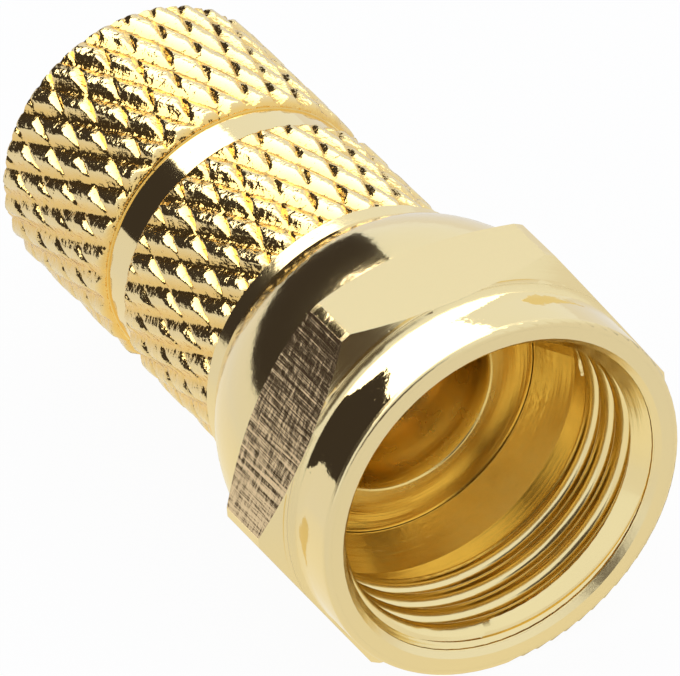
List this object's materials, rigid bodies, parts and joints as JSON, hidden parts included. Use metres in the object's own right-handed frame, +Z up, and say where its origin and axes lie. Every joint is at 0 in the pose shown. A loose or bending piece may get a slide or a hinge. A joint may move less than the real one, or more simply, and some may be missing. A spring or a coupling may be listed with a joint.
{
  "type": "f connector",
  "caption": "Twist-on coaxial F connector: a captive hex coupling nut with a threaded mouth turns freely on a diamond-knurled sleeve with a cable socket.",
  "frame": {"origin": "under the middle of the whole connector, on the surface that it lies on", "axes": "+Y along the connector's axis, from the nut's mouth to the cable end; +Z up, square to the nut's top and bottom flats; +X to the right, over the nut's corners"},
  "size_m": [0.0126, 0.0198, 0.0111],
  "materials": {
    "nut_plating": "polished gold plate over turned and milled brass",
    "sleeve_plating": "polished gold plate over knurled brass"
  },
  "bodies": {
    "nut": {"coupling_nut": "nut_plating"},
    "sleeve": {"knurled_sleeve": "sleeve_plating"}
  },
  "joints": [
    {"name": "nut_swivel", "type": "hinge", "parent": "nut", "child": "sleeve", "pos_m": [0, 0, 0.00555], "axis": [0, 1, 0], "continuous": true}
  ]
}
